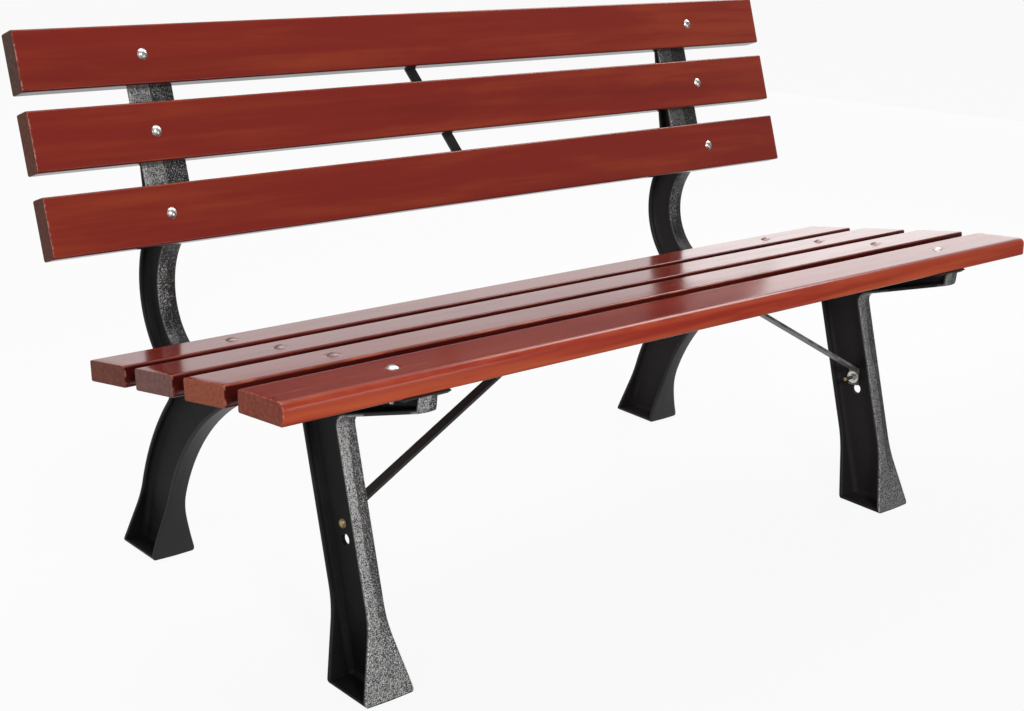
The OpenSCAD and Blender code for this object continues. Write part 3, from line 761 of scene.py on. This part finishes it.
def flange_rows(shape):
    """The flange's half section, row by row from the web to the middle of its outer face.

    A row's depth inside the outline is a * thickness + b * crown + c * fillet + d, and its
    height off the web's middle e * half-width + g * fillet + h. Each row lists these seven
    numbers, and how far outside it lies.
    """
    web, lip, inner = shape.web / 2, shape.lip_radius, shape.inner_radius
    fine, coarse = ([(1 - math.cos(a), 1 - math.sin(a), a)
                     for a in np.linspace(0, math.pi / 2, count)] for count in (6, 4))
    return [
        *((1, 0, x, shape.draft, 0, y, web, 0.0) for x, y, _ in fine[::-1]),
        *((1, 0, 0, -inner * x, 1, 0, -inner * y, 0.25 + 0.1 * a) for x, y, a in coarse),
        *((0, 1, 0, lip * x, 1, 0, -lip * y, 0.9 if a > 1.5 else 1.0)
          for x, y, a in coarse[::-1]),
        *((0, t**1.3, 0, 0, t, 0, 0, 1.0) for t in (0.72, 0.45, 0.2, 0.05))]


def flare(z, foot, shape):
    """Half-width of the flange at height z.

    It goes straight out of the foot at the flare's angle, then through an arc.
    """
    half, r, a = shape.flange_width / 2, shape.flare_radius, shape.flare_angle
    straight = (foot - half - r * (1 - math.cos(a))) / math.tan(a)
    top = straight + r * math.sin(a)
    arc = half + r - np.sqrt(np.maximum(r * r - np.clip(top - z, 0, r) ** 2, 0))
    low = np.clip(shape.foot_corner - z, 0, shape.foot_corner)
    corner = shape.foot_corner - np.sqrt(shape.foot_corner**2 - low**2)
    return np.where(z < straight, foot - z * math.tan(a) - corner, np.where(z < top, arc, half))


def half_width(run, spots, at, shape):
    """Half-width of the flange's outer face at each spot of a run, before the feet's flare."""
    flange, plate, corner = shape.flange_width / 2, shape.plate_width / 2, shape.tip_corner
    half = np.where(bearing(run, spots, at) > 0.5, plate, flange)
    kind = run_kind(run.p, at)
    if kind == "tip":
        below = run.s[-1] - spots - shape.plate
        r = shape.tip_fillet
        bow = half + r - np.sqrt(np.maximum(r * r - np.clip(r - below, 0, r) ** 2, 0))
        half = np.where(below < 0, plate, bow)
    if kind == "top":
        half = np.where(spots < shape.plate, plate, half)
    if kind in ("tip", "underside"):
        away = spots - spots[0] if kind == "tip" else spots[-1] - spots
        t = np.clip(corner - away, 0, corner)
        half = half - corner + np.sqrt(corner**2 - t * t)
    return half


def web_fill(ring, hole, middle, web):
    """The hole's rim on both web faces, and the triangles between it and a web face's ring."""
    centre, radius = hole.mean(0), np.linalg.norm(hole - hole.mean(0), axis=1).mean()
    a = np.arange(RIM_POINTS) * 2 * math.pi / RIM_POINTS
    rim = centre + radius * np.stack([np.cos(a), np.sin(a)], -1)
    flat, count = np.concatenate([ring, rim]), len(ring)
    edges = [(start + i, start + (i + 1) % size)
             for start, size in ((0, count), (count, RIM_POINTS)) for i in range(size)]
    _, _, faces, origin, _, _ = delaunay_2d_cdt([Vector(p) for p in flat], edges, [], 1, 1e-9)
    back = np.array([o[0] if o else -1 for o in origin])
    triangles = back[np.array([f for f in faces if len(f) == 3])]
    triangles = triangles[(triangles >= 0).all(1) & (triangles < count).any(1)]
    rims = [np.concatenate([np.full((RIM_POINTS, 1), middle + side * web), rim], -1)
            for side in (1, -1)]
    return np.concatenate(rims), triangles


def casting_surface(node, shape):
    """An end frame's surface: one flange section carried round the side view's outline.

    From the web the section goes through a fillet up the flange's inner wall, round its lip
    and over its slightly crowned outer face to the other side. Both web faces are filled
    with triangles, open at the spare hole, whose wall joins them.
    """
    middle, loops, at = frame_places(node, shape)
    runs = smooth_runs(loops[0], shape.step)
    spots = [spread_spots(run, at, shape) for run in runs]
    ease = [(np.clip(1 - (own - own[0]) / EASE, 0, 1), np.clip(1 - (own[-1] - own) / EASE, 0, 1))
            for own in spots]
    fillets, corner_fillets = web_fillets(runs, spots, ease, shape)
    kinds = [bearing(run, own, at) for run, own in zip(runs, spots)]
    thicks = [shape.flange + (shape.plate - shape.flange) * kind for kind in kinds]
    crowns = [shape.crown * (1 - kind) for kind in kinds]
    sizes = ((thicks, crowns, fillets),
             ([thick[0] for thick in thicks], [crown[0] for crown in crowns], corner_fillets))

    def whole(corners, parts):
        """Values round the whole outline, each run's after those of its first corner."""
        return np.concatenate([np.concatenate([np.full(CORNER_POINTS, c), part])
                               for c, part in zip(corners, parts)])

    fillet = whole(corner_fillets, fillets)
    half = [half_width(run, own, at, shape) for run, own in zip(runs, spots)]
    half = whole([h[0] for h in half], half)
    yz, xs, outer = [], [], []
    for a, b, c, d, e, g, h, mark in flange_rows(shape):
        depths, corner_depths = (
            [a * thick + b * crown + c * f + d for thick, crown, f in zip(thicks, crowns, radii)]
            for thicks, crowns, radii in sizes)
        ring = inset_ring(runs, spots, ease, depths, corner_depths, shape.corner_radius)
        foot = np.where(ring[:, 0] < at.tip_y + LEG_SPLIT, at.toe, at.heel)
        flared = np.maximum(half, flare(ring[:, 1], foot, shape))
        w = np.where(np.abs(half - shape.flange_width / 2) > 1e-6, half, flared)
        yz.append(ring)
        xs.append(np.minimum(e * w + g * fillet + h, w))
        outer.append(np.full(len(ring), mark))
    inmost = yz[0]
    # Painted sheen: the grains go only on outer faces that face the front, on the rear part only
    # above GRAINS_FROM.
    step = np.roll(inmost, -1, 0) - np.roll(inmost, 1, 0)
    facing = step[:, 1] > 0.3 * np.linalg.norm(step, axis=1)
    height = np.where(inmost[:, 0] < at.tip_y + LEG_SPLIT, 1.0,
                      (inmost[:, 1] - GRAINS_FROM) / GRAINS_RISE)
    yz, xs, outer = (np.array(half + other[::-1]) for half, other in (
        (yz, yz), (xs, [-x for x in xs]), (outer, outer)))
    lit_grains = np.where(outer > 0.8, np.clip(height, 0, 1) * facing, 0.0)
    rows, columns = xs.shape
    points = np.concatenate([xs[..., None] + middle, yz], -1).reshape(-1, 3)
    rims, fill = web_fill(inmost, loops[1], middle, shape.web / 2)
    to_rim = rows * columns - columns
    top = np.where(fill < columns, fill, fill + to_rim)
    low = np.where(fill < columns, fill + to_rim, fill + to_rim + RIM_POINTS)
    hole = ring_faces(2, RIM_POINTS) + rows * columns
    values = {name: np.concatenate([value.ravel(), np.zeros(len(rims))])
              for name, value in (("outer", outer), ("lit_grains", lit_grains))}
    faces = [ring_faces(rows, columns), top, low[:, ::-1], hole]
    return np.concatenate([points, rims]), faces, values


# ---- settings ----
def length(name, description, size):
    return FloatProperty(name=name, description=description, default=size, min=size / 2,
                         max=size * 1.5, unit="LENGTH")


def colour(name, description, *value):
    return FloatVectorProperty(name=name, description=description, default=srgb(*value), size=3,
                               min=0.0, max=1.0, subtype="COLOR")


class BenchShape(bpy.types.PropertyGroup):
    """Sizes of the pieces that are worked out here; the rest comes from the frame."""

    edge_radius: length("Slat edge", "Radius of the slats' long edges", 0.003)
    nose_radius: length("Front edge", "Radius of the seat's front edge", 0.009)
    end_radius: length("Slat end", "Radius of the slats' end edges", 0.0016)
    dimple: length("Dimple", "Radius of the dent round each bolt", 0.0125)
    dimple_depth: length("Dimple depth", "Depth of the dent round a bolt", 0.0004)
    step: length("Step", "Spacing of points along the castings' outline", 0.005)
    web: length("Web", "Thickness of the castings' web", 0.006)
    flange: length("Flange", "Thickness of the flanges", 0.006)
    flange_width: length("Flange width", "Width of the flanges", 0.028)
    plate: length("Plate", "Thickness of the plates under the slats", 0.005)
    plate_width: length("Plate width", "Width of the slats' plates", 0.070)
    flare_radius: length("Flare radius", "Radius above each foot's flare", 0.150)
    flare_angle: FloatProperty(name="Flare angle", description="Angle of each foot's flare",
                               default=math.radians(16.5), min=0.2, max=0.35, subtype="ANGLE")
    foot_corner: length("Foot corner", "Radius of the feet's corners", 0.008)
    corner_radius: length("Corner", "Radius of the castings' corners", 0.0022)
    tip_corner: length("Tip corner", "Radius of the rail tip's corners", 0.006)
    tip_fillet: length("Tip fillet", "Radius under the tip's plate", 0.009)
    lip_radius: length("Flange edge", "Radius of the flanges' edges", 0.0013)
    inner_radius: length("Inner edge", "Radius of the inner edges", 0.0016)
    draft: length("Draft", "Widening of the flanges towards the web", 0.0008)
    crown: length("Crown", "Fall of the outer face from its middle", 0.0006)
    web_fillet: length("Web fillet", "Radius between flange and web", 0.009)
    washer_edge: length("Small edges", "Rounding of nuts and washers", 0.0004)
    screw_edge: length("Screw edges", "Rounding of the brace screws", 0.0003)
    bar_edge: length("Bar edges", "Rounding of the braces and the tie bar", 0.0007)


class BenchLook(bpy.types.PropertyGroup):
    """Colours and gloss of the finishes."""

    deep: colour("Deep", "Glaze where it is thick", 114, 34, 26)
    warm: colour("Warm", "Glaze where the wood shows through", 130, 50, 30)
    dusk: colour("Dusk", "Darkest clouds in the glaze", 98, 28, 22)
    edge_deep: colour("Edge", "Glaze on the narrow edges", 142, 40, 24)
    edge_warm: colour("Edge, thin", "Thin glaze on the narrow edges", 178, 80, 44)
    edge_upper: colour("Edge, upper", "Redder glaze high on the front edge", 136, 30, 20)
    # Painted shade: the gap colours stand in for the shadow on the narrow edges between slats.
    gap_shade_deep: colour("Gap", "Glaze on the edges between slats", 52, 12, 12)
    gap_shade_warm: colour("Gap, thin", "Thin glaze between slats", 74, 22, 16)
    worn: colour("Worn", "Glaze rubbed pale at the ends", 186, 130, 118)
    arris: colour("Arris", "Thin glaze along a slat's front upper edge", 196, 104, 72)
    gloss: FloatProperty(name="Roughness", description="Least roughness of the glaze",
                         default=0.15, min=0.0, max=1.0)
    # Painted sheen: the silvery grains and the glint's whiter grains stand in for light caught by
    # the hammered enamel.
    lit_flake: colour("Flake", "Silvery grains in the enamel", 194, 193, 192)
    glint: colour("Glint", "Brightest grains, on the bends", 214, 214, 214)
    sheen: colour("Sheen", "Glossy enamel between the grains", 46, 45, 45)
    # The recess colours are darker than the outer faces' as painted shade; the far colour is
    # paler as painted light on the right end frame.
    satin_outer: colour("Satin outside", "Enamel on the flanges", 30, 28, 29)
    satin_light: colour("Satin", "Enamel in the recesses", 21, 19, 19)
    satin_dark: colour("Satin dark", "Darker enamel in the recesses", 12, 11, 11)
    satin_far_lit: colour("Satin far", "Enamel towards the right end", 50, 46, 46)
    zinc: colour("Zinc", "Bright zinc plate", 214, 213, 210)
    zinc_stain: colour("Zinc stain", "Stains on zinc plate", 150, 149, 146)
    # Painted shade: a darker, pinkish copy of the zinc for the three rear seat rows' bolts,
    # toning down their reflections.
    dull: colour("Dull zinc", "Dull zinc of the rear seat bolts", 150, 132, 128)
    shaded_zinc_stain: colour("Dull stain", "Stains on dull zinc", 110, 94, 90)
    yellow: colour("Yellow zinc", "Yellow zinc of the brace screws", 176, 156, 120)
    yellow_stain: colour("Yellow stain", "Stains on yellow zinc", 110, 92, 66)
    paint_light: colour("Paint", "Black paint of the bars", 28, 24, 25)
    paint_dark: colour("Paint dark", "Darker paint of the bars", 18, 15, 16)
    paint_worn: colour("Paint rubbed", "Black paint rubbed thin", 58, 54, 54)
    # Painted light: the right brace's grey stands in for the light it reflects.
    paint_lit_grey: colour("Paint pale", "Right brace, rubbed grey", 112, 109, 109)


# For each slat of SEAT_SLATS and then BACK_SLATS, the screen colours of its sawn ends where
# dark and where light, and how pale the glaze on its arris is.
SLAT_LOOKS = (
    ((112, 50, 38), (136, 69, 53), 0.2),
    ((128, 63, 44), (150, 80, 57), 0.5),
    ((98, 66, 61), (118, 83, 77), 0.12),
    ((90, 45, 36), (112, 61, 49), 0.12),
    ((72, 38, 29), (92, 52, 41), 0.35),
    ((74, 40, 30), (96, 55, 42), 0.35),
    ((64, 41, 34), (84, 58, 48), 0.35),
)

# Each lamp's name, place, size and power. All face the seat.
LAMPS = (
    ("key", (-1.8, -3.6, 2.6), 1.2, 105),
    ("low", (1.5, -3.2, 0.45), 1.3, 20),
    ("side", (-3.6, -0.6, 1.3), 1.4, 24),
    ("crest", (2.2, 0.3, 2.4), 1.1, 27),
    ("rear", (4.5, 1.9, 0.75), 2.6, 17),
    ("top", (0.0, 0.2, 3.2), 2.4, 34),
)
LAMP_TARGET = (0, 0, 0.35)
FLOOR_REACH = 30

# The camera's place, its yaw, pitch and roll in degrees, and its lens.
CAMERA_PLACE = (-1.7073, -1.5186, 1.0022)
CAMERA_TURN = (-38.24, -19.04, 2.74)
LENS_LENGTH = 55.32
LENS_SHIFT = (0.2271, 0.0143)


def bench(context):
    return context.scene.bench_shape, context.scene.bench_look


# ---- operators ----
class BENCH_OT_slats(bpy.types.Operator):
    """Make the seven glazed slats"""

    bl_idname = "bench.slats"
    bl_label = "Slats"

    def execute(self, context):
        shape, look = bench(context)
        for i, (slat, (dark, light, thin)) in enumerate(zip(BOLTS, SLAT_LOOKS)):
            # All slats but the front one get the dark gap colours on their narrow edges: painted
            # shade.
            nose, edges = shape.edge_radius, (look.gap_shade_deep, look.gap_shade_warm, look.gap_shade_deep)
            if slat == "seat_slat_front":
                nose, edges = shape.nose_radius, (look.edge_deep, look.edge_warm, look.edge_upper)
            finish = timber("glaze_" + slat, (1.7 * i + 0.3, 2.9 * i, 4.1 * i), look,
                            (srgb(*dark), srgb(*light)), edges, thin)
            surface = slat_surface(slat, shape, nose)
            make_piece(slat + "_glazed", slat, surface, finish, 40)
        return {"FINISHED"}


class BENCH_OT_frames(bpy.types.Operator):
    """Make the two cast end frames"""

    bl_idname = "bench.frames"
    bl_label = "End frames"

    def execute(self, context):
        shape, look = bench(context)
        low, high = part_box("end_frame_right")
        finish = enamel(look, (low[0] + high[0]) / 2)
        for node in END_FRAMES:
            surface = casting_surface(node, shape)
            make_piece(node + "_cast", node, surface, finish, 50)
        return {"FINISHED"}


class BENCH_OT_fasteners(bpy.types.Operator):
    """Finish the coach bolts, and soften the other fasteners' edges"""

    bl_idname = "bench.fasteners"
    bl_label = "Fasteners"

    def execute(self, context):
        shape, look = bench(context)
        zinc = plated("zinc_plate", look.zinc, look.zinc_stain, 0.22)
        # The darker zinc copy is painted shade on the rear seat bolts' reflections.
        dull = plated("zinc_plate_shaded", look.dull, look.shaded_zinc_stain, 0.34)
        yellow = plated("yellow_zinc", look.yellow, look.yellow_stain, 0.3)
        for slat, node in BOLTS.items():
            # The three rear seat rows' bolts get the darker copy: painted shade.
            cover(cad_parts[node].data, dull if slat in SEAT_SLATS[1:] else zinc)
        for node in SMALL_METAL:
            softened(node, shape.washer_edge, zinc)
        softened("brace_leg_screws", shape.screw_edge, yellow)
        return {"FINISHED"}


class BENCH_OT_bars(bpy.types.Operator):
    """Finish the braces and the tie bar"""

    bl_idname = "bench.bars"
    bl_label = "Braces and tie bar"

    def execute(self, context):
        shape, look = bench(context)
        black = black_paint("black_paint", look.paint_dark, look.paint_light, look.paint_worn)
        # The right brace is painted grey, lighter than the black of the others: painted light.
        grey = black_paint("brace_sheen_paint", look.paint_worn, look.paint_lit_grey, look.paint_lit_grey)
        for node in BARS:
            paint = grey if node == "brace_right" else black
            softened(node, shape.bar_edge, paint)
        return {"FINISHED"}


class BENCH_OT_stage(bpy.types.Operator):
    """Set the floor, the light and the camera"""

    bl_idname = "bench.stage"
    bl_label = "Stage"

    def execute(self, context):
        scene = context.scene
        r = FLOOR_REACH
        mesh = bpy.data.meshes.new("floor")
        mesh.from_pydata([(-r, -r, 0), (r, -r, 0), (r, r, 0), (-r, r, 0)], [], [(0, 1, 2, 3)])
        cover(mesh, floor_paint())
        put_in("floor", mesh)
        world_light(scene)
        for name, place, size, power in LAMPS:
            lamp = bpy.data.lights.new(name, "AREA")
            lamp.size, lamp.energy = size, power
            light = put_in(name, lamp)
            light.location = place
            aim = Vector(LAMP_TARGET) - Vector(place)
            light.rotation_euler = aim.to_track_quat("-Z", "Y").to_euler()
        set_camera(scene)
        scene.view_settings.view_transform = "Standard"
        return {"FINISHED"}


def floor_paint():
    """Pale floor, seen as white, with the bench's shadow left on it.

    Reflections show it white behind the bench and greyer in front. Its own colour is also paler
    behind the bench than in front: painted light and shade.
    """
    f = Finish("floor_white")
    behind = f.band(f.part(f.place, "Y"), -0.45, 0.25)
    # Painted light and shade: the floor's colour is pale behind the bench and grey in front.
    f.set(Base_Color=f.mix(behind, (0.30, 0.30, 0.30), (0.70, 0.70, 0.70)), Roughness=0.9)
    white = f.add("Emission", None, (1.0, 1.0, 1.0, 1.0), 1.0)
    camera, seen = f.rays()
    share = seen * f.maths("MAXIMUM", camera, behind) * 0.92
    mixed = f.add("MixShader", None, share, Value(f, f.shader.outputs[0]), white)
    f.feed(f.nodes["Material Output"], {"Surface": mixed})
    return f.material


def world_light(scene):
    """Even grey light; seen, it is white behind the bench and greyer before it."""
    scene.world = bpy.data.worlds.new("studio")
    scene.world.use_nodes = True
    f = Tree(scene.world.node_tree)
    direction = f.add("TexCoord", out="Generated")
    behind = f.band(f.part(direction, "Y"), -0.35, 0.25)
    camera, seen = f.rays()
    level = seen * f.maths("MAXIMUM", behind * 0.75 + 0.25, camera) + (1.0 - seen) * 0.42
    f.feed(f.nodes["Background"], {"Color": (1, 1, 1, 1), "Strength": level})


def set_camera(scene):
    """A camera at a standing onlooker's eye, rolled a little."""
    yaw, pitch, roll = (math.radians(angle) for angle in CAMERA_TURN)
    turn = Matrix.Rotation(yaw, 4, "Z") @ Matrix.Rotation(math.pi / 2 + pitch, 4, "X") \
        @ Matrix.Rotation(roll, 4, "Z")
    lens = bpy.data.cameras.new("camera")
    lens.sensor_fit = "HORIZONTAL"
    lens.sensor_width = 36.0
    lens.lens = LENS_LENGTH
    lens.shift_x, lens.shift_y = LENS_SHIFT
    lens.clip_start = 0.05
    scene.camera = put_in("camera", lens)
    scene.camera.matrix_world = Matrix.Translation(CAMERA_PLACE) @ turn


class BENCH_PT_panel(bpy.types.Panel):
    """Bench settings and steps"""

    bl_idname = "BENCH_PT_panel"
    bl_label = "Garden bench"
    bl_space_type = "VIEW_3D"
    bl_region_type = "UI"
    bl_category = "Bench"

    def draw(self, context):
        for group in bench(context):
            for key in group.__annotations__:
                self.layout.prop(group, key)
        for step in STEPS:
            self.layout.operator(step.bl_idname)


STEPS = [BENCH_OT_stage, BENCH_OT_frames, BENCH_OT_slats, BENCH_OT_bars, BENCH_OT_fasteners]
CLASSES = [BenchShape, BenchLook, *STEPS, BENCH_PT_panel]


def register():
    for cls in CLASSES:
        bpy.utils.register_class(cls)
    bpy.types.Scene.bench_shape = PointerProperty(type=BenchShape)
    bpy.types.Scene.bench_look = PointerProperty(type=BenchLook)


def unregister():
    del bpy.types.Scene.bench_look
    del bpy.types.Scene.bench_shape
    for cls in reversed(CLASSES):
        bpy.utils.unregister_class(cls)


def main():
    register()
    bpy.ops.bench.stage()
    bpy.ops.bench.frames()
    bpy.ops.bench.slats()
    bpy.ops.bench.bars()
    bpy.ops.bench.fasteners()


if __name__ == "__main__":
    main()
